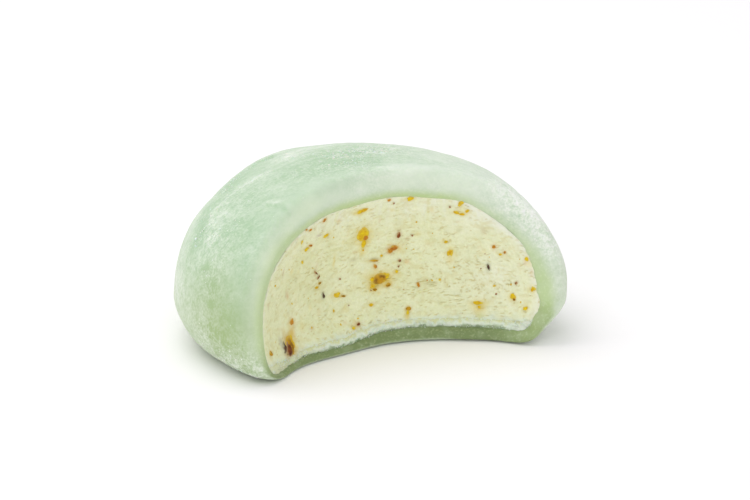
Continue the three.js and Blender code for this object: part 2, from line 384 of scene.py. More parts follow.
def dense_ice_cream(tree):
    """Dense, low-air ice cream that teeth have ripped: matt, pale yellow green, with rows of fine tears.
    Fruit syrup has bled into it round the bits. The tears and the hollows between crumbs are painted a darker
    warm colour, partly their own colour and partly painted shade."""
    place = add(tree, "ShaderNodeTexCoord", {}).outputs["Object"]
    stain = add(tree, "ShaderNodeAttribute", {}, attribute_name="stain").outputs
    torn, pale, frosty = (
        add(tree, "ShaderNodeAttribute", {}, attribute_name=name).outputs["Fac"]
        for name in ("torn", "pale", "frosty")
    )
    # Ice crystals are 0.05 mm; the crumb they make when torn is about 0.2 mm. It lies in clouds.
    cloud, crumb = (
        add(
            tree,
            "ShaderNodeTexNoise",
            {"Vector": place, "Scale": per_metre(pitch), "Detail": detail, "Roughness": 0.6},
        ).outputs["Fac"]
        for pitch, detail in ((2.5, 5), (0.2, 3))
    )
    mottled = add(tree, "ShaderNodeMath", {0: crumb, 1: MEAN_NOISE}, operation="SUBTRACT").outputs[0]
    mottled = add(tree, "ShaderNodeMath", {0: mottled, 1: cloud}, operation="ADD").outputs[0]
    cream = colour("#dce0ae")
    coats = (
        (mottled, colour("#f5f7d8")),
        # paler on the right and at the edges, partly painted light, and in streaks near the top
        (pale, colour("#eff1de")),
        (frosty, colour("#e0ead6")),
        # the tears and hollows: partly the ripped ice cream's warmer colour, partly painted shade in the
        # grooves
        (torn, colour("#cbb85c")),
        (stain["Alpha"], stain["Color"]),
    )
    for share, shade in coats:
        cream = add(
            tree, "ShaderNodeMix", {FACTOR: share, FIRST: cream, SECOND: shade}, data_type="RGBA"
        ).outputs[RESULT]
    bump = add(tree, "ShaderNodeBump", {"Height": crumb, "Strength": 0.6, "Distance": 0.1 * MM}).outputs[0]
    return {
        "Base Color": cream,
        "Roughness": 0.75,
        "Normal": bump,
        "IOR": 1.36,
        "Subsurface Weight": 0.15,
        "Subsurface Radius": (0.8, 0.7, 0.4),
        "Subsurface Scale": 0.5 * MM,
    }


def frosted_starch(tree):
    """Starch and meltwater frozen together under the filling: a crumbly white crust with a green cast."""
    place = add(tree, "ShaderNodeTexCoord", {}).outputs["Object"]
    creamy, damp = (
        add(tree, "ShaderNodeAttribute", {}, attribute_name=name).outputs["Fac"]
        for name in ("creamy", "damp")
    )
    crumb = add(
        tree, "ShaderNodeTexNoise", {"Vector": place, "Scale": per_metre(0.3), "Detail": 3, "Roughness": 0.6}
    ).outputs["Fac"]
    crust = colour("#d2e1c8")
    # the dark grey green low on the edge is partly damp, partly painted shade under the crust's bulge
    for share, shade in ((crumb, "#f0f6ea"), (creamy, "#d8dcae"), (damp, "#93a57c")):
        crust = add(
            tree, "ShaderNodeMix", {FACTOR: share, FIRST: crust, SECOND: colour(shade)}, data_type="RGBA"
        ).outputs[RESULT]
    bump = add(tree, "ShaderNodeBump", {"Height": crumb, "Strength": 0.5, "Distance": 0.1 * MM}).outputs[0]
    return {
        "Base Color": crust,
        "Roughness": 0.85,
        "Normal": bump,
        "IOR": 1.33,
        "Subsurface Weight": 0.3,
        "Subsurface Radius": (0.6, 0.7, 0.55),
        "Subsurface Scale": 0.6 * MM,
    }


def candied_bit(tree, light, dark, syrup):
    """Candied fruit peel or nut skin, chopped fine: moist, a little see-through, uneven in colour."""
    place = add(tree, "ShaderNodeTexCoord", {}).outputs["Object"]
    thin = add(tree, "ShaderNodeAttribute", {}, attribute_name="thin").outputs["Fac"]
    cloud = add(
        tree, "ShaderNodeTexNoise", {"Vector": place, "Scale": per_metre(0.7), "Detail": 3, "Roughness": 0.6}
    ).outputs["Fac"]
    ripe = add(tree, "ShaderNodeMapRange", {"Value": cloud, "From Min": 0.4, "From Max": 0.62}).outputs[0]
    flesh = colour(light)
    for share, shade in ((ripe, dark), (thin, syrup)):
        flesh = add(
            tree, "ShaderNodeMix", {FACTOR: share, FIRST: flesh, SECOND: colour(shade)}, data_type="RGBA"
        ).outputs[RESULT]
    return {
        "Base Color": flesh,
        "Roughness": 0.5,
        "IOR": 1.4,
        "Specular IOR Level": 0.25,
        "Subsurface Weight": 0.1,
        "Subsurface Radius": (0.5, 0.4, 0.2),
        "Subsurface Scale": 0.5 * MM,
    }


def dry_starch(tree):
    """Loose clumps of potato starch."""
    place = add(tree, "ShaderNodeTexCoord", {}).outputs["Object"]
    cloud = add(tree, "ShaderNodeTexNoise", {"Vector": place, "Scale": per_metre(0.8), "Detail": 2})
    white = add(
        tree,
        "ShaderNodeMix",
        {FACTOR: cloud.outputs["Fac"], FIRST: colour("#dfe9da"), SECOND: colour("#f6f8f2")},
        data_type="RGBA",
    ).outputs[RESULT]
    return {"Base Color": white, "Roughness": 0.95, "Subsurface Weight": 0.3, "Subsurface Scale": 0.2 * MM}


def pale_floor(_tree):
    return {"Base Color": colour("#fffdff"), "Roughness": 0.9}


# ---- Making pieces ----

def grid_shape(columns, rows):
    """A flat grid, and how far along (0 to 1) each of its points lies in both directions."""
    shape = bmesh.new()
    bmesh.ops.create_grid(shape, x_segments=columns, y_segments=rows, size=1)
    flat = np.array([vertex.co[:2] for vertex in shape.verts])
    return shape, (flat[:, 0] + 1) / 2, (flat[:, 1] + 1) / 2


def move_to(vertices, places):
    """Sets points down at places given in millimetres."""
    for vertex, place in zip(vertices, places * MM):
        vertex.co = place


def paint(shape, **looks):
    """Stores one number, or one colour, for each point of a shape, under the name of each look."""
    for name, values in looks.items():
        layers = shape.verts.layers.float_color if np.ndim(values) == 2 else shape.verts.layers.float
        layer = layers.new(name)
        for vertex, value in zip(shape.verts, values):
            vertex[layer] = value


def finished(shape, name, material, node):
    """Closes a shape's seams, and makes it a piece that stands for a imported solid."""
    bmesh.ops.remove_doubles(shape, verts=shape.verts[:], dist=WELD)
    bmesh.ops.recalc_face_normals(shape, faces=shape.faces[:])
    data = bpy.data.meshes.new(name)
    shape.to_mesh(data)
    shape.free()
    data.shade_smooth()
    data.materials.append(material)
    piece = bpy.data.objects.new(name, data)
    bpy.context.scene.collection.objects.link(piece)
    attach(piece, "root")
    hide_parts(node)
    return piece


# ---- The dough ----

SKIN_COLUMNS = 400
SKIN_ROWS = 200
GRID_DIGITS = 6  # a grid's steps differ in their last digits
LIP_FROM = 0.78  # shares of the rows: up to here the outside, then the lip, then the inside
LIP_TO = 0.92

# A soft fold of dough that runs over the left shoulder, and the band just outside it, painted darker: it has
# little starch, and beyond the fold it is painted shade.
FOLD = [
    (-19.8, -1.9, 14.0),
    (-18.6, 1.1, 15.1),
    (-17.0, 3.4, 16.2),
    (-14.9, 3.7, 17.5),
    (-11.9, 4.6, 18.8),
    (-10.0, 5.1, 19.4),
]
OUTER_BAND = [
    (-19.9, 1.5, 13.5),
    (-19.2, 2.9, 14.2),
    (-17.0, 6.7, 15.2),
    (-14.5, 7.4, 16.9),
    (-10.3, 12.1, 17.8),
    (-8.0, 12.8, 18.5),
]
CREASES = [  # the line it runs along, how wide, and how deep or, below 0, how high
    ([(-13.2, -3.9, 18.6), (-12.4, -5.9, 18.7), (-11.3, -8.4, 18.7)], 0.3, -0.06),
    ([(-13.6, -3.9, 18.4), (-12.8, -5.9, 18.5), (-11.7, -8.4, 18.5)], 0.3, 0.05),
    ([(-20.8, -4.9, 12.0), (-21.4, -3.4, 10.9), (-21.8, -2.8, 9.6)], 0.35, 0.09),
    ([(-18.8, 1.6, 14.9), (-20.1, -3.0, 13.4), (-21.0, -4.9, 11.4)], 0.5, 0.07),
    ([(-14.5, -8.6, 17.4), (-14.0, -9.0, 17.5)], 0.7, 0.12),
    (FOLD, 0.6, -0.14),
]
# Edges where rolled starch has piled up or come off, and painted highlight and shade: the crests of the fold
# and of the creases are painted lighter and the hollows beside them darker. The line, how wide, how much film
# and grit.
STARCH_AND_LIGHT_RIDGES = [
    (FOLD, 0.9, 0.3, 0.18),
    ([(-6.4, 7.9, 19.9), (-3.9, 10.8, 19.8), (-1.1, 10.2, 20.1)], 1.3, 0.35, 0.12),
    ([(-13.5, -3.6, 18.6), (-12.3, -5.5, 18.9), (-11.1, -7.4, 19.0)], 0.35, 0.45, 0.0),
    ([(-13.9, -4.2, 18.3), (-12.7, -6.1, 18.5), (-11.5, -8.0, 18.6)], 0.35, -0.35, 0.0),
    ([(-17.2, 0.4, 16.4), (-16.0, -2.9, 17.3), (-14.0, -4.0, 18.2)], 0.9, 0.2, 0.0),
    ([(-20.9, -3.5, 12.1), (-21.6, -2.2, 10.5)], 0.5, -0.3, 0.0),
    (OUTER_BAND, 1.3, -0.55, 0.3),
]

# Where the starch lies thicker or thinner than usual: place, over what distance, how much film and grit.
DUSTINGS = [
    ((-12.5, 2.5, 18.8), 3.0, -0.12, 0.0),
    ((-19.5, 2.0, 14.0), 1.6, -0.25, 0.1),
    ((-21.2, 2.0, 11.0), 2.2, -0.22, 0.0),
    ((-20.2, -5.3, 12.9), 1.5, 0.25, 0.0),
    ((-21.8, -3.9, 9.4), 1.8, 0.12, 0.0),
    ((-13.8, 11.7, 15.6), 2.5, -0.2, 0.0),
    ((-6.6, -7.2, 20.1), 1.8, 0.2, 0.0),
    ((6.0, -7.0, 20.2), 3.2, 0.25, 0.0),
    ((18.8, -11.5, 11.6), 1.6, 0.2, 0.0),
    ((-19.6, -0.8, 14.2), 2.2, -0.15, 0.0),
    ((-12.6, 8.6, 17.6), 2.0, -0.2, 0.1),
    ((-6.5, 9.1, 19.7), 2.0, 0.2, 0.1),
    ((-21.9, 2.5, 7.5), 3.0, 0.15, 0.0),
    ((-21.2, -4.5, 10.8), 2.6, -0.16, 0.0),
    ((10.7, -7.6, 18.9), 2.5, 0.15, 0.0),
    ((7.0, -3.5, 20.4), 3.5, -0.08, 0.0),
    ((-11.2, 4.1, 19.1), 2.6, 0.15, 0.0),
    ((-12.3, -0.4, 19.0), 1.5, 0.15, 0.0),
    ((15.4, -5.5, 17.0), 2.8, 0.3, 0.25),
    ((15.0, -10.6, 16.1), 2.5, 0.2, 0.25),
    ((18.2, -11.4, 12.6), 2.2, 0.1, 0.25),
    ((19.0, -11.0, 11.5), 3.5, 0.25, 0.05),
    ((-12.5, -9.0, 16.5), 3.2, -0.2, 0.0),
    ((-9.5, -8.0, 19.3), 3.0, -0.14, 0.0),
    ((-18.0, -4.5, 15.0), 4.5, -0.16, 0.1),
    ((-15.5, 1.5, 17.5), 4.0, -0.14, 0.1),
    ((-16.5, -11.5, 13.0), 3.0, -0.15, 0.0),
    ((18.0, -14.2, 9.4), 1.6, 0.3, 0.2),
    ((18.0, -14.5, 6.5), 3.0, 0.25, 0.05),
    ((17.0, -9.0, 15.2), 2.2, 0.35, 0.1),
    ((1.7, 3.1, 21.0), 1.4, 0.25, 0.1),
    ((-7.3, -6.8, 20.0), 3.5, -0.1, -0.1),
    ((1.0, -7.2, 20.6), 4.0, 0.75, -0.1),
    ((8.9, -9.0, 19.2), 3.0, -0.05, -0.05),
    ((-21.5, 5.1, 6.7), 4.5, 0.2, 0.1),
    ((-22.1, -4.2, 4.3), 2.5, 0.1, 0.2),
    ((-20.6, -7.8, 2.5), 2.5, 0.1, 0.25),
    ((-18.9, -11.1, 1.9), 2.5, 0.1, 0.25),
    ((-19.3, -12.6, 6.0), 4.0, -0.05, 0.0),
    ((-7.2, 1.1, 20.4), 4.0, -0.2, 0.1),
    ((-1.5, -1.5, 21.0), 4.0, -0.12, 0.14),
    ((-1.4, 3.1, 21.0), 4.0, -0.22, 0.22),
    ((3.9, 5.5, 20.7), 4.0, 0.0, 0.2),
    ((-21.4, -7.4, 7.5), 4.5, -0.12, -0.06),
    ((-21.5, -5.0, 11.0), 3.0, 0.0, 0.1),
]
OLIVE_AND_SHADE_PLACES = [((-21.4, -7.4, 7.5), 5.5, 0.3), ((-20.4, -6.0, 12.0), 3.0, 0.2)]
OLIVE_AND_SHADE = 0.8  # how far the lower dough goes over from mint green to olive: partly its own colour where it is thick, partly painted shade low down

X, Z = 0, 2
PARTS = {  # along x or up z: where a part of the dough begins, and where it is reached in full
    "foot": (Z, 4.5, 1.0),
    "clear of the base": (Z, 0.0, 1.2),
    "olive_and_shade": (Z, 15, 4),
    "lower": (Z, 14, 6),
    "low": (Z, 14, 4),
    "top": (Z, 12, 17),
    "right side": (X, 2, 14),
    "right wall": (X, 6, 13),
    "high on the right": (Z, 6, 13),
    "low on the right": (Z, 7, 2),
    "left half": (X, 3, -6),
    "upper left": (X, -2, -9),
    "left end": (X, -10, -15),
    "under the filling": (X, 17, 11.5),
    "lip well up": (Z, 6, 15),
    "lip well left": (X, -6, -10),
    "lip short of the right": (X, 14, 8),
    "spread from": (X, -18, -14),
    "spread in the middle": (X, -6, 3),
    "spread at the right": (X, 9, 13),
}
NEAR_BITE = (5.0, 2.0)  # how far from the bite it begins, and where it is reached in full
STARCH = {  # how much film and how much grit there is, by part of the dough
    "everywhere": (0.39, 0.13),
    "foot": (0.1, 0.1),
    "near the bite": (0.0, -0.05),
    "over the bite": (0.12, 0.0),
    "right": (0.18, 0.0),
    "lower left": (-0.1, 0.0),
}
GRIT_RANGE = (0.04, 0.5)
RIDGE_WANDER = {"how far": 0.9, "pitch": 1.8, "seeds": (11, 12, 13)}
RIDGE_MEAN = 0.75  # how much of a ridge shows on average
CAKED = {"from grit": 0.16, "most": 0.3}

# Sets of lumps: height, pitch and seed. The finest kneaded ones are no wider than a clump of starch.
KNEADED = [(0.16, 9, 1), (0.08, 3.6, 2), (0.03, 1.6, 3), (0.02, 0.8, 4)]
CAKED_LUMPS = [(0.3, 1.2, 14), (0.25, 0.65, 15)]
FILM_CLOUDS = [(0.15, 4.5, 5), (0.08, 1.7, 6)]
GRIT_CLOUDS = [(0.05, 3, 8)]
RIDGE_GAPS = [(0.6, 1.1, 16)]
CUT_SPOTS = [(0.2, 0.7, 7)]
LIT_CLOUDS = [(0.25, 2, 17)]

CUT = {  # at what share of the roll the bare cut begins, how much of the roll it takes, how bare it is
    "everywhere": (0.5, 0.35, 1.0),
    "floor": (-0.28, -0.1, 0.0),
    "left": (-0.25, 0.0, -0.12),
    "upper left": (0.04, -0.12, -0.18),
    "low right": (-0.25, 0.0, 0.0),
    "right wall": (0.0, 0.0, -0.2),
    "high right": (0.0, 0.0, -0.35),
}
RELIEF_FADES = (0.5, 0.9)  # shares of the roll, as in the next three
ROLL_STARCHED_AND_LIT = (0.05, 0.4)
ROLL_LIT = (0.0, 0.4)
ROLL_LIT_ENDS = (0.7, 0.45)
LEAST_LIT = 0.3  # the share that is left low down, and away from the left
# How much darker the moist dough is painted at the floor's end and low on the right wall: partly its deeper
# green, partly painted shade.
DARKER_AND_SHADED = {"floor's end": 0.6, "right wall": 0.35}


def within(part, points):
    """How far each point lies within a part of the dough, 0 to 1."""
    axis, begins, full = PARTS[part]
    return smooth_step(begins, full, points[:, axis])


def dough_relief(points):
    """Swellings that kneading left, starch that has caked, and the creases."""
    _, grit = starch_on(points)
    caked = np.clip(grit - CAKED["from grit"], 0, CAKED["most"])
    relief = swellings(points, KNEADED) + caked * swellings(points, CAKED_LUMPS)
    for path, wide, deep in CREASES:
        relief -= deep * hill(distance_to_path(points, path), wide)
    return relief


def starch_on(points):
    """How thick the film of starch is, 0 to about 1.2, and how gritty, 0 to 0.5."""
    near_bite = smooth_step(*NEAR_BITE, bite_field(points))
    right = within("right side", points)
    parts = {
        "everywhere": 1.0,
        "foot": within("foot", points),
        "near the bite": near_bite,
        "over the bite": near_bite * within("top", points),
        "right": right,
        "lower left": within("lower", points) * (1 - right),
    }
    film, grit = add_up(STARCH, parts)
    film += swellings(points, FILM_CLOUDS)
    grit += swellings(points, GRIT_CLOUDS)
    for place, reach, more_film, more_grit in DUSTINGS:
        near = blob(points, place, reach)
        film += more_film * near
        grit += more_grit * near
    pitch, seeds = RIDGE_WANDER["pitch"], RIDGE_WANDER["seeds"]
    bent = points + RIDGE_WANDER["how far"] * np.stack([lumps(points, pitch, seed) for seed in seeds], -1)
    broken = RIDGE_MEAN + swellings(points, RIDGE_GAPS)
    # Ridges add starch, and along the creases and the fold a painted highlight on the crests and painted
    # shade beside them.
    for path, wide, more_film, more_grit in STARCH_AND_LIGHT_RIDGES:
        near = broken * hill(distance_to_path(bent, path), wide)
        film += more_film * near
        grit += more_grit * near
    return film, np.clip(grit, *GRIT_RANGE)


def lip_curve(around):
    """Where the lip begins and ends, how far it is on the floor, and the four handles of the curve that rolls
    over from the dough's outside to its inner edge."""
    corner = outside(around, rim_swing(around, 0, 0))
    floor = on_floor(outward(corner))
    outer_end = rim_swing(around, blend(LIP_ROLL["wall"], LIP_ROLL["floor"], floor), 0)
    inner_end = rim_swing(around, LIP_TUCK, 1)
    # On the floor the soft dough has spread forward, less so towards its ends.
    spread = within("spread from", corner) * blend(1, SPREAD_RIGHT, within("spread at the right", corner))
    spread *= blend(SPREAD_LEFT, SPREAD_MIDDLE, within("spread in the middle", corner))
    outer_short = LIP_EASE * (1 - floor) - FOOT_SPREAD["low"] * spread * floor
    inner_short = -LIP_PUFF * (1 - floor) - FOOT_SPREAD["high"] * spread * floor
    handles = [
        under(around, outer_end, 0),
        under(around, rim_swing(around, outer_short, 0), 0),
        under(around, rim_swing(around, inner_short, 1), 1),
        under(around, inner_end, 1),
    ]
    return outer_end, inner_end, floor, handles


def along_curve(share, handles):
    """The point `share` of the way along a curve drawn by four handles."""
    rest = 1 - share
    weights = (rest**3, 3 * share * rest**2, 3 * share**2 * rest, share**3)
    return sum(weight * handle for weight, handle in zip(weights, handles))


def skin_looks(places, roll, floor):
    """What the dough's finish follows at each point: its starch, its colour, how bare and how lit it is."""
    film, grit = starch_on(places)
    # On the left the rolled edge gets more film: thicker starch, and painted light where it turns away from
    # the lamps.
    film += LIP_STARCH_AND_LIGHT * smooth_step(*ROLL_STARCHED_AND_LIT, roll) * within("left half", places)
    # The lower dough and its lower left are painted olive: partly the thick dough's own colour, partly
    # painted shade.
    olive_and_shade = OLIVE_AND_SHADE * within("olive_and_shade", places)
    for place, reach, amount in OLIVE_AND_SHADE_PLACES:
        olive_and_shade += amount * blob(places, place, reach)

    # Starch came off on the teeth: the lip is bare low down, less so up the right wall.
    right = within("right wall", places)
    low = within("low", places)
    parts = {
        "everywhere": 1.0,
        "floor": floor,
        "left": within("left end", places) * (1 - floor),
        "upper left": within("upper left", places) * (1 - low),
        "low right": low * right,
        "right wall": right * (1 - floor),
        "high right": right * (1 - floor) * within("high on the right", places),
    }
    begins, takes, bare = add_up(CUT, parts)
    cut = bare * smooth_step(begins, begins + takes, roll) * (1 - swellings(places, CUT_SPOTS))

    # The moist dough is painted darker on the floor: darkest under the frost and lighter where the floor runs
    # out into the right wall, and a little darker low on the right wall. This is partly its own deeper green
    # where it is thick, partly painted shade under the frost's ledge and where the cut faces down or away
    # from the light.
    dark = floor * blend(DARKER_AND_SHADED["floor's end"], 1, within("under the filling", places))
    dark += DARKER_AND_SHADED["right wall"] * right * within("low on the right", places) * (1 - floor)

    lit = LIP_LIGHT * (1 - floor) * (1 + swellings(places, LIT_CLOUDS))
    lit *= smooth_step(*ROLL_LIT, roll) * smooth_step(*ROLL_LIT_ENDS, roll)
    lit *= within("lip short of the right", places)
    for part in ("lip well up", "lip well left"):
        lit *= blend(LEAST_LIT, 1, within(part, places))
    return {
        "lit": lit,
        "film": film,
        "grit": grit,
        "olive_and_shade": np.clip(olive_and_shade, 0, 1),
        "cut": np.clip(cut, 0, 1),
        "low": dark,
    }


def dough_skin(material):
    shape, u, v = grid_shape(SKIN_COLUMNS, SKIN_ROWS)
    columns = 2 * math.pi * np.unique(np.round(u, GRID_DIGITS))
    column = np.rint(u * (len(columns) - 1)).astype(int)
    outer_end, inner_end, floor, handles = lip_curve(columns)
    outer = v < LIP_FROM
    inner = v > LIP_TO
    swing = np.where(outer, outer_end[column] * v / LIP_FROM, inner_end[column] * (1 - v) / (1 - LIP_TO))
    places = under(columns[column], swing, np.where(outer, 0.0, 1.0))
    roll = np.clip((v - LIP_FROM) / (LIP_TO - LIP_FROM), 0, 1)
    curve = along_curve(roll[:, None], [handle[column] for handle in handles])
    places = np.where((outer | inner)[:, None], places, curve)

    # The relief fades out on the cut face, inside the dough and where it lies on the surface below.
    shown = (1 - smooth_step(*RELIEF_FADES, roll)) * within("clear of the base", places)
    places = places + outward(places) * (dough_relief(places) * shown)[:, None]
    places[:, 2] = np.maximum(places[:, 2], 0)
    move_to(shape.verts, places)
    paint(shape, **skin_looks(places, roll, floor[column]))
    return finished(shape, "dough_skin", material, "rice_skin")


# ---- The bitten face ----

FACE_COLUMNS = 420
FACE_ROWS = 190
BACK_RINGS = 8
FACE_MIDDLE = (0.0, 9.3)  # along and up
FACE_HALF = (17.5, 8.3)
RIM_SAMPLES = 720
FACE_SUNK = 0.45  # how far the filling runs down behind the frosted crust


def frost_thickness(along):
    return blend(FROST["left"], FROST["right"], smooth_step(*FROST["between"], along))


def frost_top(along):
    return floor_dough(along) + frost_thickness(along)


def on_face(along, up, out=0.0):
    """A point of the bitten face, `out` millimetres proud of it."""
    turn = along / BITE_RADIUS
    reach = bite_reach(along, up) - out
    return np.stack([BITE_X + reach * np.sin(turn), BITE_Y + reach * np.cos(turn), up + 0 * turn], -1)


TEAR_ZONES = [  # where teeth left most tears: along, up, wide, tall, how many
    (9.0, 6.4, 15.0, 5.0, 1.0),
    (4.5, 11.0, 12.0, 4.0, 0.45),
    (-6.0, 2.9, 16.0, 1.8, 0.8),
    (-9.0, 8.0, 12.0, 7.0, 0.35),
    (-3.0, 15.0, 9.0, 2.0, 0.35),
    (9.0, 15.0, 7.0, 2.5, 0.3),
]
TEARS_ANYWHERE = 0.1
TEAR_TRIES = 2400
TEAR_FIELD = {"along": (-17.5, 18), "up": (1.5, 17.5)}
TEAR_LENGTHS = (0.25, 0.75)
TEAR_TILT = (0.08, 0.25)  # its mean and its spread
TEAR_BOW = 0.6
TEAR_DEPTHS = (0.05, 0.12)
TEAR_WIDTH = 0.05
TEAR_BROW = {"reach": 0.17, "height": 0.8}  # the ice cream above a tear stands out

# Sets of lumps, as on the dough. Teeth drew some of the crumbs out along the face.
DRAWN_OUT = 1.7
DRAWN_CRUMBS = [(0.06, 0.3, 23), (0.05, 0.6, 25)]
ROUND_CRUMBS = [(0.045, 0.24, 24)]
FACE_SWELLS = [(0.1, 4.5, 21), (0.06, 1.6, 22)]
TEAR_WANDERS = [(0.07, 0.3, 28)]
HOLLOWS = {"torn": 0.35, "depth": -0.07}  # the hollows between crumbs take a little of the tears' darker colour, as painted shade


def laid_flat(along, up):
    return np.stack([along, up, 0 * along], -1)


def oval(along, up, patch):
    """A soft patch of the face, at its edge about a third as strong as in its middle."""
    middle_along, middle_up, wide, tall, strength = patch
    return strength * hill(np.hypot((along - middle_along) / wide, (up - middle_up) / tall), 0.5)


def tears():
    """Where teeth tore the ice cream: the middle, half length, tilt, bow and depth of each tear."""
    draw = np.random.default_rng(61)
    along = draw.uniform(*TEAR_FIELD["along"], TEAR_TRIES)
    up = draw.uniform(*TEAR_FIELD["up"], TEAR_TRIES)
    many = TEARS_ANYWHERE + sum(oval(along, up, zone) for zone in TEAR_ZONES)
    half = blend(*TEAR_LENGTHS, draw.uniform(0, 1, TEAR_TRIES) ** 2) / 2
    tilt = draw.normal(*TEAR_TILT, TEAR_TRIES)
    bow = draw.uniform(-TEAR_BOW, TEAR_BOW, TEAR_TRIES)
    deep = draw.uniform(*TEAR_DEPTHS, TEAR_TRIES)
    kept = draw.uniform(0, 1, TEAR_TRIES) < many
    return np.stack([along, up, half, tilt, bow, deep], -1)[kept]


TEARS = tears()


def face_relief(along, up):
    """The face's relief, and how much of the tears' darker colour it takes, partly painted shade: 1 in a
    tear, less in the hollows between crumbs.
    """
    flat = laid_flat(along, up)
    crumb = swellings(laid_flat(along / DRAWN_OUT, up), DRAWN_CRUMBS) + swellings(flat, ROUND_CRUMBS)
    relief = swellings(flat, FACE_SWELLS) + crumb
    torn = HOLLOWS["torn"] * smooth_step(0, HOLLOWS["depth"], crumb)
    wander = swellings(flat, TEAR_WANDERS)
    for tear_along, tear_up, half, tilt, bow, deep in TEARS:
        near = (np.abs(along - tear_along) < half) & (np.abs(up - tear_up) < half)
        aside = along[near] - tear_along
        above = up[near] - tear_up - tilt * aside - bow * aside * aside + wander[near]
        ends = smooth_step(1, 0.5, np.abs(aside) / half)
        line = ends * hill(above, TEAR_WIDTH)
        brow = ends * np.exp(-np.abs(above) / TEAR_BROW["reach"]) * (above > 0)
        relief[near] += deep * (TEAR_BROW["height"] * brow * (1 - line) - line)
        torn[near] = np.maximum(torn[near], line)
    return relief, torn


# ---- The bits in the ice cream ----

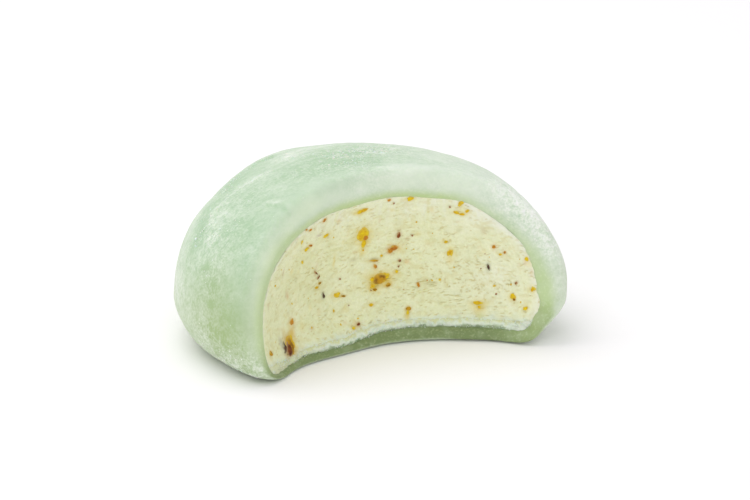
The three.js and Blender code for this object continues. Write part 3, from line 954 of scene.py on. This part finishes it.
KINDS = {  # two colours of the bit itself, and of the syrup that has bled out of it
    "golden": ("#e6c81c", "#cf9f18", "#dcc659"),
    "amber": ("#c4931c", "#7c5212", "#d2b04a"),
    "orange": ("#cc8c2a", "#a96418", "#d4ae5c"),
    "maroon": ("#8a4c22", "#572812", "#c2a274"),
    "husk": ("#61402f", "#352722", "#aaa88a"),
}
BITS = [  # kind, along, up, wide, tall, tilt in degrees
    ("golden", -1.7, 13.0, 1.55, 1.8, -8),
    ("golden", -1.45, 11.9, 0.65, 1.3, 0),
    ("orange", -1.35, 12.6, 0.6, 0.85, 20),
    ("golden", -2.2, 16.2, 1.15, 0.5, 20),
    ("golden", -2.5, 16.0, 0.7, 0.4, 10),
    ("orange", 2.0, 10.8, 1.1, 0.65, 10),
    ("orange", 1.6, 10.5, 0.6, 0.5, -20),
    ("golden", 0.5, 7.2, 2.0, 1.35, 18),
    ("golden", 1.15, 7.5, 0.8, 0.7, 30),
    ("golden", -0.3, 7.3, 0.6, 0.6, 0),
    ("amber", 0.45, 7.2, 1.7, 1.25, 18),
    ("golden", -0.35, 6.45, 0.6, 0.6, -10),
    ("amber", 1.4, 6.45, 0.6, 0.45, 10),
    ("amber", -0.15, 6.1, 0.5, 0.35, 0),
    ("orange", 0.0, 8.8, 0.4, 0.55, 20),
    ("amber", -0.1, 9.5, 0.8, 0.25, -8),
    ("amber", -13.0, 2.55, 1.3, 2.3, -12),
    ("golden", -12.35, 2.9, 0.6, 1.5, -10),
    ("maroon", -13.4, 2.3, 0.95, 1.7, -15),
    ("husk", -14.0, 2.6, 0.5, 1.3, -20),
    ("orange", -11.7, 4.9, 0.6, 0.7, 0),
    ("amber", -17.5, 3.1, 0.9, 0.5, -25),
    ("maroon", 2.5, 12.4, 0.45, 0.75, -5),
    ("maroon", 4.0, 12.2, 0.2, 0.2, 0),
    ("maroon", 2.7, 9.2, 0.3, 0.36, 0),
    ("maroon", 2.6, 8.5, 0.18, 0.22, 0),
    ("golden", 2.4, 7.9, 0.3, 0.35, 0),
    ("golden", 0.7, 10.0, 0.28, 0.35, 0),
    ("husk", -6.5, 6.6, 0.35, 0.7, 8),
    ("golden", -4.6, 6.25, 0.95, 0.6, -12),
    ("amber", -3.9, 5.95, 0.6, 0.2, -15),
    ("golden", -6.6, 13.9, 0.7, 0.6, 0),
    ("orange", -7.4, 16.0, 0.6, 0.4, 20),
    ("orange", -9.4, 15.3, 0.4, 0.3, 0),
    ("orange", -10.1, 15.5, 0.3, 0.25, 0),
    ("golden", -10.4, 14.0, 0.25, 0.4, 0),
    ("golden", -9.7, 11.4, 0.3, 0.35, 0),
    ("golden", -9.3, 12.9, 0.8, 0.45, 15),
    ("orange", -8.8, 13.2, 0.5, 0.25, -10),
    ("maroon", -7.5, 9.5, 0.18, 0.6, 40),
    ("maroon", -7.1, 8.9, 0.2, 0.5, -35),
    ("amber", -6.9, 8.1, 0.4, 0.35, 0),
    ("golden", -7.3, 7.7, 0.45, 0.3, 0),
    ("maroon", -4.2, 8.0, 0.2, 0.22, 0),
    ("golden", -5.3, 4.5, 0.25, 0.33, 0),
    ("golden", -0.7, 4.4, 0.42, 0.3, 0),
    ("maroon", -2.6, 2.6, 0.45, 0.3, 30),
    ("golden", -3.3, 2.3, 0.5, 0.3, 10),
    ("orange", 4.7, 6.2, 0.3, 0.45, 10),
    ("amber", 3.5, 3.55, 0.55, 0.42, 25),
    ("golden", 3.4, 3.1, 0.3, 0.5, 0),
    ("orange", 3.1, 1.9, 0.25, 0.25, 0),
    ("golden", 3.5, 17.1, 0.7, 0.5, 25),
    ("orange", 0.9, 17.2, 0.45, 0.3, 0),
    ("maroon", 1.5, 16.7, 0.18, 0.2, 0),
    ("golden", 9.2, 16.3, 0.45, 0.9, -40),
    ("maroon", 8.0, 15.8, 0.18, 0.22, 0),
    ("golden", 8.7, 15.1, 0.7, 0.4, -25),
    ("golden", 9.3, 14.9, 0.7, 0.35, 0),
    ("golden", 9.9, 15.3, 0.5, 0.4, 35),
    ("golden", 7.6, 11.3, 0.42, 0.45, 0),
    ("golden", 8.1, 9.9, 0.6, 1.0, -8),
    ("orange", 12.7, 10.9, 0.42, 0.5, 0),
    ("golden", 13.4, 10.0, 0.35, 0.3, 0),
    ("orange", 13.9, 10.3, 0.3, 0.3, 0),
    ("husk", 12.1, 8.4, 0.3, 0.75, 8),
    ("maroon", 15.2, 6.8, 0.3, 0.35, 0),
    ("golden", 16.3, 9.8, 0.42, 0.5, 0),
    ("golden", 17.1, 6.3, 0.6, 0.65, 0),
    ("golden", 14.9, 5.2, 0.65, 0.55, 0),
    ("amber", 15.1, 4.9, 0.3, 0.3, 0),
    ("golden", 16.4, 4.0, 0.55, 0.4, 30),
    ("golden", 11.1, 4.1, 1.2, 0.45, 5),
    ("golden", 11.3, 3.7, 0.4, 0.4, 0),
    ("golden", 12.8, 6.2, 0.3, 0.2, 0),
    ("golden", 7.0, 6.7, 0.28, 0.22, 0),
]
STAINS = [  # colour, along, up, wide, tall, how strong
    ("#d6d492", -9.5, 9.5, 8.0, 6.0, 0.2),
    ("#c9cfc2", -14.3, 3.1, 0.7, 1.3, 0.7),
    ("#dcb46a", 3.5, 9.0, 0.6, 0.6, 0.5),
    ("#e3cc58", -1.5, 11.2, 0.5, 1.2, 0.5),
    ("#dfc455", 3.3, 2.7, 0.6, 1.1, 0.6),
    ("#cdd07a", 11.4, 2.3, 0.6, 1.4, 0.5),
    ("#cdb493", -12.1, 8.2, 0.6, 0.9, 0.35),
    ("#d8ab5e", -12.0, 7.9, 0.4, 0.6, 0.5),
    ("#c9b184", -16.3, 8.3, 0.5, 0.8, 0.4),
    ("#b79a84", -13.1, 11.2, 0.25, 1.0, 0.45),
    ("#b49a8c", -7.7, 14.2, 0.9, 0.3, 0.55),
    ("#e2c777", 8.1, 9.0, 0.8, 0.8, 0.35),
    ("#e3c765", 11.2, 3.4, 1.3, 1.0, 0.5),
    ("#e0c94f", -5.0, 10.2, 0.3, 1.4, 0.5),
    ("#d9b79a", 16.1, 9.3, 0.5, 0.8, 0.35),
    ("#dfc089", 16.9, 8.2, 0.5, 1.2, 0.35),
    ("#dcae3c", -12.0, 3.7, 0.9, 1.3, 0.6),
    ("#e4d38e", 6.0, 15.4, 0.6, 0.7, 0.4),
    ("#e3d58a", 4.6, 12.3, 0.6, 0.6, 0.4),
    ("#a79a55", -0.1, 9.7, 1.1, 0.4, 0.6),
    ("#b5ae78", -2.6, 10.0, 1.0, 0.6, 0.4),
    ("#c9bb90", 11.7, 12.9, 0.75, 0.8, 0.5),
    ("#d0a77a", -8.8, 3.4, 0.7, 0.35, 0.5),
    ("#d6b04c", -2.9, 2.5, 0.9, 0.7, 0.4),
]
BIT_THICKNESS = 0.32
BIT_FLATNESS = 0.8  # the most thickness, as a share of the narrower side
# How far each kind stands out of the face.
BIT_PROUD = {"golden": 0.1, "amber": 0.14, "orange": 0.12, "maroon": 0.17, "husk": 0.15}
BIT_LUMPS = [(0.35, 0.9, 41), (0.2, 0.45, 42)]
BIT_LUMPS_APART = 5  # keeps each bit's lumps unlike those of the bit before
SMOOTH_BIT = {"over": 1.2, "unevenness": 0.4}
FINE_MESH_OVER = 0.45
MESH_DETAIL = {"small": 3, "large": 4}
THIN_RIM = (-0.9, -0.35)
SYRUP_SPREAD = 1.4
SYRUP_STRENGTH = 0.62
STAIN_RAGS = [(0.45, 0.35, 33)]
STAIN_FALL = 0.9
STAIN_ENDS = 6  # squared, in half widths
FINE_BITS = {"count": 30, "along": (-16, 16.5), "wide": (0.1, 0.2), "tall": (0.8, 1.4)}
FINE_KINDS = {"golden": 0.7, "orange": 0.15, "maroon": 0.15}
FINE_STAINS = {"count": 60, "along": (-16.5, 17), "wide": (0.3, 0.8), "tall": (0.6, 1.4)}
FINE_SHADES = ["#e2cf70", "#d9c088", "#c6c48c"]
FINE_STRENGTH = (0.15, 0.4)
SPECKLED = {"from": 2.6, "to": 16, "lower at the sides": 6, "side": 18}


def scattered(draw, marks):
    """Where a small mark lies on the face, below its arched top, and how wide and tall it is."""
    along = draw.uniform(*marks["along"])
    arch = SPECKLED["to"] - SPECKLED["lower at the sides"] * (along / SPECKLED["side"]) ** 2
    up = draw.uniform(SPECKLED["from"], arch)
    wide = draw.uniform(*marks["wide"])
    return along, up, wide, wide * draw.uniform(*marks["tall"])


def scattered_bits():
    """The finest bits, too small to lie in any order."""
    draw = np.random.default_rng(31)
    for kind in draw.choice(list(FINE_KINDS), FINE_BITS["count"], p=list(FINE_KINDS.values())):
        yield kind, *scattered(draw, FINE_BITS), 0


def all_stains():
    """Each bit's own halo of syrup, the stains that have no bit, and faint marks all over."""
    for kind, along, up, wide, tall, _ in BITS:
        yield KINDS[kind][2], along, up, wide * SYRUP_SPREAD, tall * SYRUP_SPREAD, SYRUP_STRENGTH
    yield from STAINS
    draw = np.random.default_rng(32)
    for shade in draw.choice(FINE_SHADES, FINE_STAINS["count"]):
        yield shade, *scattered(draw, FINE_STAINS), draw.uniform(*FINE_STRENGTH)


def face_stains(along, up):
    """The stains' colour and strength at each point of the face."""
    ragged = 1 + swellings(laid_flat(along, up), STAIN_RAGS)
    mixed = np.zeros((len(along), 3))
    left = np.ones(len(along))
    for shade, stain_along, stain_up, wide, tall, strength in all_stains():
        far = ((along - stain_along) / (wide / 2)) ** 2 + ((up - stain_up) / (tall / 2)) ** 2
        near = far < STAIN_ENDS
        amount = strength * np.exp(-STAIN_FALL * far[near] * ragged[near])
        mixed[near] += (left[near] * amount)[:, None] * np.array(colour(shade)[:3])
        left[near] *= 1 - amount
    strength = 1 - left
    return np.column_stack([mixed / np.maximum(strength, LEAST)[:, None], strength])


def bits_piece(kind, material):
    """All the bits of one kind, each a flattened ragged lump half sunk in the bitten face."""
    shape = bmesh.new()
    chosen = [bit for bit in (*BITS, *scattered_bits()) if bit[0] == kind]
    points = []
    for index, (_, bit_along, bit_up, wide, tall, tilt) in enumerate(chosen):
        detail = MESH_DETAIL["large" if max(wide, tall) > FINE_MESH_OVER else "small"]
        lump = bmesh.ops.create_icosphere(shape, subdivisions=detail, radius=1)["verts"]
        unit = np.array([vertex.co[:] for vertex in lump])
        unevenness = SMOOTH_BIT["unevenness"] if max(wide, tall) > SMOOTH_BIT["over"] else 1.0
        ragged = 1 + unevenness * swellings(unit + BIT_LUMPS_APART * index, BIT_LUMPS)
        thick = min(BIT_THICKNESS, BIT_FLATNESS * min(wide, tall))
        across, depth, rise = (unit * ragged[:, None] * np.array((wide, thick, tall)) / 2).T
        slope = math.radians(tilt)
        along = bit_along + across * math.cos(slope) - rise * math.sin(slope)
        up = bit_up + across * math.sin(slope) + rise * math.cos(slope)
        points.append((along, up, BIT_PROUD[kind] - thick / 2 - depth, depth / thick * 2))
    along, up, out, deep = np.concatenate(points, axis=1)
    relief, _ = face_relief(along, up)
    move_to(shape.verts, on_face(along, up, out + relief))
    paint(shape, thin=smooth_step(*THIN_RIM, deep))
    return finished(shape, kind + "_bits", material, "ice_cream")


# ---- The ice cream and the frosted layer ----

def rim_of_filling():
    """The filling's outline on the bitten face."""
    around = np.linspace(-math.pi, math.pi, RIM_SAMPLES)
    rim = under(around, rim_swing(around, 0, 1, -SUNK), 1, -SUNK)
    return np.arctan2(rim[:, 0] - BITE_X, rim[:, 1] - BITE_Y) * BITE_RADIUS, rim[:, 2]


def by_ray(rim_along, rim_up):
    """An outline sorted by the direction in which it is seen from the middle of the face."""
    (mid_along, mid_up), (half_along, half_up) = FACE_MIDDLE, FACE_HALF
    ray = np.arctan2((rim_up - mid_up) / half_up, (rim_along - mid_along) / half_along)
    order = np.argsort(ray)
    return ray[order], rim_along[order], rim_up[order]


LIT_PALE_PATCHES = [  # paler on the right, where the face turns towards the light: painted light. Along, up, wide, tall, how pale
    (12.0, 14.0, 8.0, 3.0, 0.5),
    (13.0, 7.0, 8.0, 8.0, 0.45),
]
PALE_AND_LIT_EDGES = [  # paler near the edges, partly painted highlight where the edge bulges: how pale, how wide, and between which places along and up it comes in
    (0.8, 0.8, (4, 12), (1.5, 3.5)),
    (0.5, 0.4, (-6, -13), (-1, 0)),
]
PALE_TOP = {"amount": 0.3, "between": (13, 16.5)}
STREAKS = {"wide": 0.35, "tall": 5, "seed": 26}
FROSTED = {"amount": 0.9, "height": 0.3}  # frost creeps up from the crust
FROSTED_EDGE = [(0.25, 0.4, 27)]
GROOVE = {"depth": 0.05, "width": 0.15}
# how strongly the tears' darker colour shows: partly painted shade
TORN_AND_SHADED_SHOWN = 0.6


def paleness_and_light(along, up, from_edge):
    """How much paler the ice cream is painted: in two patches on the right, as painted light; near its edges,
    partly as painted highlight; and, in streaks, near its top.
    """
    pale = sum(oval(along, up, patch) for patch in LIT_PALE_PATCHES)
    for amount, width, across, rise in PALE_AND_LIT_EDGES:
        pale += amount * hill(from_edge, width) * smooth_step(*across, along) * smooth_step(*rise, up)
    streaks = lumps(laid_flat(along / STREAKS["wide"], up / STREAKS["tall"]), 1, STREAKS["seed"])
    return pale + PALE_TOP["amount"] * smooth_step(*PALE_TOP["between"], up) * (1 + streaks)


def ice_cream(material, rim):
    shape, u, v = grid_shape(FACE_COLUMNS, FACE_ROWS)
    # The square grid is first rounded to a disc, then drawn out to the filling's outline.
    across, rise = 2 * u - 1, 2 * v - 1
    disc_x = across * np.sqrt(1 - rise**2 / 2)
    disc_y = rise * np.sqrt(1 - across**2 / 2)
    around = np.arctan2(disc_y, disc_x)
    share = np.hypot(disc_x, disc_y)
    rim_along, rim_up = rim
    rim_ray, rim_along, rim_up = by_ray(rim_along, np.maximum(rim_up, frost_top(rim_along) - FACE_SUNK))
    edge_along = np.interp(around, rim_ray, rim_along, period=2 * math.pi)
    edge_up = np.interp(around, rim_ray, rim_up, period=2 * math.pi)
    along = blend(FACE_MIDDLE[0], edge_along, share)
    up = blend(FACE_MIDDLE[1], edge_up, share)
    relief, torn = face_relief(along, up)
    from_edge = np.hypot(edge_along - along, edge_up - up)
    over_frost = up - frost_line(along, up) + swellings(laid_flat(along, up), FROSTED_EDGE)
    # The face ends a little short of the dough's lip, in a soft groove.
    relief = relief - GROOVE["depth"] * np.exp(-from_edge / GROOVE["width"])
    move_to(shape.verts, on_face(along, up, relief))
    paint(
        shape,
        torn=TORN_AND_SHADED_SHOWN * torn,
        pale=np.clip(paleness_and_light(along, up, from_edge), 0, 1),
        frosty=FROSTED["amount"] * np.exp(-np.clip(over_frost, 0, None) / FROSTED["height"]),
        stain=face_stains(along, up),
    )
    back_of_face(shape)
    return finished(shape, "ice_cream_filling", material, "ice_cream")


def back_of_face(shape):
    """Draws the open edge of the bitten face back in rings, along the dough's inside, to a point."""
    loop = [edge for edge in shape.edges if edge.is_boundary]
    for ring in range(BACK_RINGS, 0, -1):
        grown = bmesh.ops.extrude_edge_only(shape, edges=loop)["geom"]
        loop = [item for item in grown if isinstance(item, bmesh.types.BMEdge) and item.is_boundary]
        corners = [item for item in grown if isinstance(item, bmesh.types.BMVert)]
        way = np.array([corner.co[:] for corner in corners]) / MM - HEART
        around = np.arctan2(way[:, 2], way[:, 0])
        swing = np.arccos(np.clip(way[:, 1] / np.linalg.norm(way, axis=1), -1, 1)) * (ring - 1) / ring
        moved = under(around, swing, 1)
        moved[:, 2] = np.maximum(moved[:, 2], frost_top(moved[:, 0]) - FACE_SUNK)
        move_to(corners, moved)


FROST_COLUMNS = 520
FROST_ROWS = 26
FROST_FRONT = 0.65  # shares of the rows: the bitten edge, then the top going back, then the underside
FROST_BACK = 0.83
FROST_CLIMB = {"height": 1.3, "power": 6}
FROST_EDGE = [(0.14, 0.9, 51), (0.09, 0.35, 52)]
FROST_CRUMBLE = [(0.06, 0.6, 53), (0.06, 0.26, 54), (0.03, 0.13, 55)]
# How far the bitten edge stands out or lies back, and at which shares of its height.
FROST_PROUD = {"amount": 0.17, "comes": (0, 0.5), "goes": (1, 0.75)}
FROST_SET_BACK = {"amount": 0.1, "comes": (0.75, 1)}
FROST_CRUMBLES = (0, 0.1)
FROST_FLATTER = [(0.7, (-10, -14)), (0.6, (14, 16))]  # how much flatter, and from where to where along
FROST_TAPER = {"left": 0.03, "right": 0.1}  # shares of its length
UNDERSIDE_POWER = 4  # how fast the underside comes down to the dough's floor
# The cream colour on the crust is set a little darker, partly as painted shade at its left end.
CREAMY = {"height": (0.45, 0.95), "left": 0.75, "between": (-7, -13)}
CREAM_BLOTS = [(0.25, 0.4, 56)]
# Low on the bitten edge the crust is painted dark grey green: partly damp, partly painted shade under its
# bulge.
DAMP_AND_SHADE = {"amount": 0.85, "height": (0.45, 0.0), "left": (-15, -11), "right": (16.5, 13.5)}
DAMP_AND_SHADE_BLOTS = [(0.15, 1.5, 57)]


def frost_line(along, up):
    """How high the crust reaches on the bitten face: it creeps up at the walls."""
    place = on_face(along, up)
    out = np.hypot(place[:, 0], place[:, 1]) / RADIUS
    return frost_top(along) + FROST_CLIMB["height"] * out ** FROST_CLIMB["power"]


def frost_layer(material, rim):
    """The crust: a slab under the whole filling, with a crumbly bitten edge."""
    shape, u, v = grid_shape(FROST_COLUMNS, FROST_ROWS)
    ray, rim_along, rim_up = by_ray(*rim)
    low = ray[rim_up < frost_line(rim_along, rim_up)]
    ray_here = blend(low[0], low[-1], u)
    end_along = np.interp(ray_here, ray, rim_along)
    end_up = np.interp(ray_here, ray, rim_up)
    ragged = swellings(laid_flat(end_along, end_up), FROST_EDGE)

    def towards_rim(share):
        """Along and up where a ray from the middle of the face has come to a share of its way to the rim."""
        return blend(FACE_MIDDLE[0], end_along, share), blend(FACE_MIDDLE[1], end_up, share)

    def above_line(share):
        along, up = towards_rim(share)
        return up > frost_line(along, up) + ragged

    top_share = bisect(above_line, np.zeros_like(u), np.ones_like(u))
    height = np.clip(v / FROST_FRONT, 0, 1)
    along, up = towards_rim(blend(1, top_share, height))
    flat = laid_flat(along, up)
    proud = FROST_PROUD["amount"] * smooth_step(*FROST_PROUD["comes"], height)
    proud *= smooth_step(*FROST_PROUD["goes"], height)
    proud -= FROST_SET_BACK["amount"] * smooth_step(*FROST_SET_BACK["comes"], height)
    for flatter, between in FROST_FLATTER:
        proud *= 1 - flatter * smooth_step(*between, along)
    relief, _ = face_relief(along, up)
    ends = smooth_step(0, FROST_TAPER["left"], u) * smooth_step(0, FROST_TAPER["right"], 1 - u)
    crumbs = swellings(flat, FROST_CRUMBLE) * smooth_step(*FROST_CRUMBLES, height)
    front = on_face(along, up, relief + ends * (proud + crumbs))

    # Behind the bitten edge: out along the top to the dough's wall, and back along its floor.
    turn = along / BITE_RADIUS
    start = np.hypot(front[:, 0] - BITE_X, front[:, 1] - BITE_Y)

    def behind(reach, rise):
        return np.stack([BITE_X + reach * np.sin(turn), BITE_Y + reach * np.cos(turn), rise], -1)

    def within_dough(reach):
        return dome_field(behind(reach, up)) < -WALL_DOUGH

    wall = np.maximum(bisect(within_dough, start, start + 2 * RADIUS), start)
    going = smooth_step(FROST_FRONT, FROST_BACK, v)
    coming = np.clip((v - FROST_BACK) / (1 - FROST_BACK), 0, 1)
    depth = np.where(v > FROST_BACK, 1 - coming, going)
    back_up = np.where(v > FROST_BACK, blend(end_up, up, (1 - coming) ** UNDERSIDE_POWER), up)
    back = behind(blend(start, wall, depth * ends), back_up)
    first = on_face(end_along, end_up, face_relief(end_along, end_up)[0])
    back = blend(back, first, coming[:, None] ** 2)
    move_to(shape.verts, np.where((v > FROST_FRONT)[:, None], back, front))

    mottled = height + swellings(flat, CREAM_BLOTS)
    creamy = np.maximum(
        smooth_step(*CREAMY["height"], mottled), CREAMY["left"] * smooth_step(*CREAMY["between"], along)
    )
    damp = DAMP_AND_SHADE["amount"] * smooth_step(*DAMP_AND_SHADE["height"], mottled + swellings(flat, DAMP_AND_SHADE_BLOTS))
    for end in ("left", "right"):
        damp *= smooth_step(*DAMP_AND_SHADE[end], along)
    paint(shape, creamy=creamy * (v <= FROST_FRONT), damp=damp)
    return finished(shape, "frost_crust", material, "frost_layer")


# ---- Loose starch and frost crumbs ----

STARCH_TRIES = 60000
STARCH_SIZES = (0.09, 0.32)
STARCH_LIES = {"anywhere": 0.004, "in grit": 0.8, "from grit": 0.18, "clear of the bite": 1.2, "above": 0.15}
STARCH_HEAPS = [(1.0, 1.1, 72)]
STARCH_GROWS = {"by grit": 3, "less": 0.3, "least": 0.1}  # how much of its range of sizes a clump uses
FROST_CRUMBS = 1200
FROST_SIZES = (0.06, 0.15)
FROST_CRUMBS_LIE = {"along": (-16.8, 17.6), "down": 0.5, "spread": 0.36, "proud": 0.14}
FROST_WALL_AT = 2.5  # the height at which the crust's line is taken for its crumbs
CLUMP_CORNERS = (0.65, 1.25)
CLUMP_SIDES = (0.6, 1.4)
CLUMP_FLATTENED = 0.45


def clumps(name, centres, normals, sizes, seed, material, node):
    """Many tiny uneven clumps, flattened and sunk by half into the surface they lie on, as one piece."""
    draw = np.random.default_rng(seed)
    shape = bmesh.new()
    for _ in centres:
        bmesh.ops.create_icosphere(shape, subdivisions=1, radius=0.5)
    count = len(centres)
    unit = np.array([vertex.co[:] for vertex in shape.verts]).reshape(count, -1, 3)
    unit = unit * draw.uniform(*CLUMP_CORNERS, (*unit.shape[:2], 1))
    unit = unit * draw.uniform(*CLUMP_SIDES, (count, 1, 3))
    height = np.sum(unit * normals[:, None], -1, keepdims=True)
    unit = unit - CLUMP_FLATTENED * height * normals[:, None]
    places = centres[:, None] + unit * sizes[:, None, None]
    move_to(shape.verts, places.reshape(-1, 3))
    return finished(shape, name, material, node)


def starch_clumps(material):
    """Starch lies in clumps where the film is thick and gritty, above all round the foot."""
    draw = np.random.default_rng(71)
    lies = STARCH_LIES
    around = draw.uniform(-math.pi, math.pi, STARCH_TRIES)
    swing = np.arccos(draw.uniform(-1, 1, STARCH_TRIES))
    centres = outside(around, swing)
    normals = outward(centres)
    _, grit = starch_on(centres)
    heaped = np.clip(grit - lies["from grit"], 0, None) * (1 + swellings(centres, STARCH_HEAPS))
    kept = draw.uniform(0, 1, STARCH_TRIES) < lies["anywhere"] + lies["in grit"] * heaped
    kept &= (bite_field(centres) > lies["clear of the bite"]) & (centres[:, 2] > lies["above"])
    centres, normals = centres[kept], normals[kept]
    centres = centres + normals * (dough_relief(centres) * within("clear of the base", centres))[:, None]
    grown = np.clip(STARCH_GROWS["by grit"] * grit[kept] - STARCH_GROWS["less"], STARCH_GROWS["least"], 1)
    sizes = blend(*STARCH_SIZES, draw.uniform(0, 1, len(centres)) ** 2 * grown)
    return clumps("starch_clumps", centres, normals, sizes, 73, material, "rice_skin")


def frost_crumbs(material):
    """Crumbs that broke off the crust's edge and cling to it and to the dough just below."""
    draw = np.random.default_rng(81)
    lie = FROST_CRUMBS_LIE
    along = draw.uniform(*lie["along"], FROST_CRUMBS)
    down = lie["down"] + draw.normal(0, lie["spread"], FROST_CRUMBS)
    up = frost_line(along, FROST_WALL_AT) - frost_thickness(along) * down
    relief, _ = face_relief(along, up)
    centres = on_face(along, up, relief + lie["proud"])
    turn = along / BITE_RADIUS
    normals = np.stack([-np.sin(turn), -np.cos(turn), 0 * turn], -1)
    sizes = blend(*FROST_SIZES, draw.uniform(0, 1, FROST_CRUMBS) ** 2)
    return clumps("frost_crumbs", centres, normals, sizes, 82, material, "frost_layer")


# ---- Stage, light and camera ----

FLOOR_GAP = 0.02  # keeps the floor and the flat base from lying in one plane
FLOOR_HALF = 3  # metres


def stage():
    shape = bmesh.new()
    bmesh.ops.create_grid(shape, x_segments=1, y_segments=1, size=FLOOR_HALF)
    data = bpy.data.meshes.new("floor")
    shape.to_mesh(data)
    shape.free()
    data.materials.append(new_material("pale_floor", pale_floor))
    floor = bpy.data.objects.new("floor", data)
    floor.location.z = -FLOOR_GAP * MM
    bpy.context.scene.collection.objects.link(floor)


SOFT_BOXES = [  # name, place, size and power in watts
    ("key", (-130, 150, 450), 460, 1.0),
    ("front", (-230, -360, 300), 400, 0.42),
]
LIGHTS_AIM = Vector((0, 0, 8))
SKY_STRENGTH = 0.71


def soft_light(name, place, size, watts):
    """A square soft box at a place given in millimetres, turned towards the sweet."""
    data = bpy.data.lights.new(name, "AREA")
    data.shape = "SQUARE"
    data.size = size * MM
    data.energy = watts
    lamp = bpy.data.objects.new(name, data)
    lamp.location = Vector(place) * MM
    lamp.rotation_euler = (LIGHTS_AIM * MM - lamp.location).to_track_quat("-Z", "Y").to_euler()
    bpy.context.scene.collection.objects.link(lamp)


def lights():
    world = bpy.data.worlds.new("studio")
    world.use_nodes = True
    background = world.node_tree.nodes["Background"]
    background.inputs["Color"].default_value = (1, 1, 1, 1)
    background.inputs["Strength"].default_value = SKY_STRENGTH
    bpy.context.scene.world = world
    for soft_box in SOFT_BOXES:
        soft_light(*soft_box)
    bpy.context.scene.view_settings.view_transform = "Standard"


CAMERA = {"turn": -22.7, "rise": 17.7, "away": 450, "lens": 188.2, "right": 0.92, "up": 10.3}
SENSOR_WIDTH = 36
NEAREST_SEEN = 10


def camera():
    turn, rise = math.radians(CAMERA["turn"]), math.radians(CAMERA["rise"])
    back = Vector((math.sin(turn) * math.cos(rise), -math.cos(turn) * math.cos(rise), math.sin(rise)))
    right = Vector((math.cos(turn), math.sin(turn), 0))
    aim = right * CAMERA["right"] + Vector((0, 0, CAMERA["up"]))
    data = bpy.data.cameras.new("camera")
    data.lens = CAMERA["lens"]
    data.sensor_width = SENSOR_WIDTH
    data.clip_start = NEAREST_SEEN * MM
    eye = bpy.data.objects.new("camera", data)
    eye.location = (aim + back * CAMERA["away"]) * MM
    eye.rotation_euler = (-back).to_track_quat("-Z", "Y").to_euler()
    bpy.context.scene.collection.objects.link(eye)
    bpy.context.scene.camera = eye


camera()
lights()
stage()
dough_skin(new_material("starched_rice_dough", starched_rice_dough))
filling_rim = rim_of_filling()
ice_cream(new_material("dense_ice_cream", dense_ice_cream), filling_rim)
frost_layer(new_material("frosted_starch", frosted_starch), filling_rim)
loose_starch = new_material("dry_starch", dry_starch)
starch_clumps(loose_starch)
frost_crumbs(loose_starch)
for kind_name, tones in KINDS.items():
    bits_piece(kind_name, new_material(kind_name + "_fruit_bits", candied_bit, *tones))
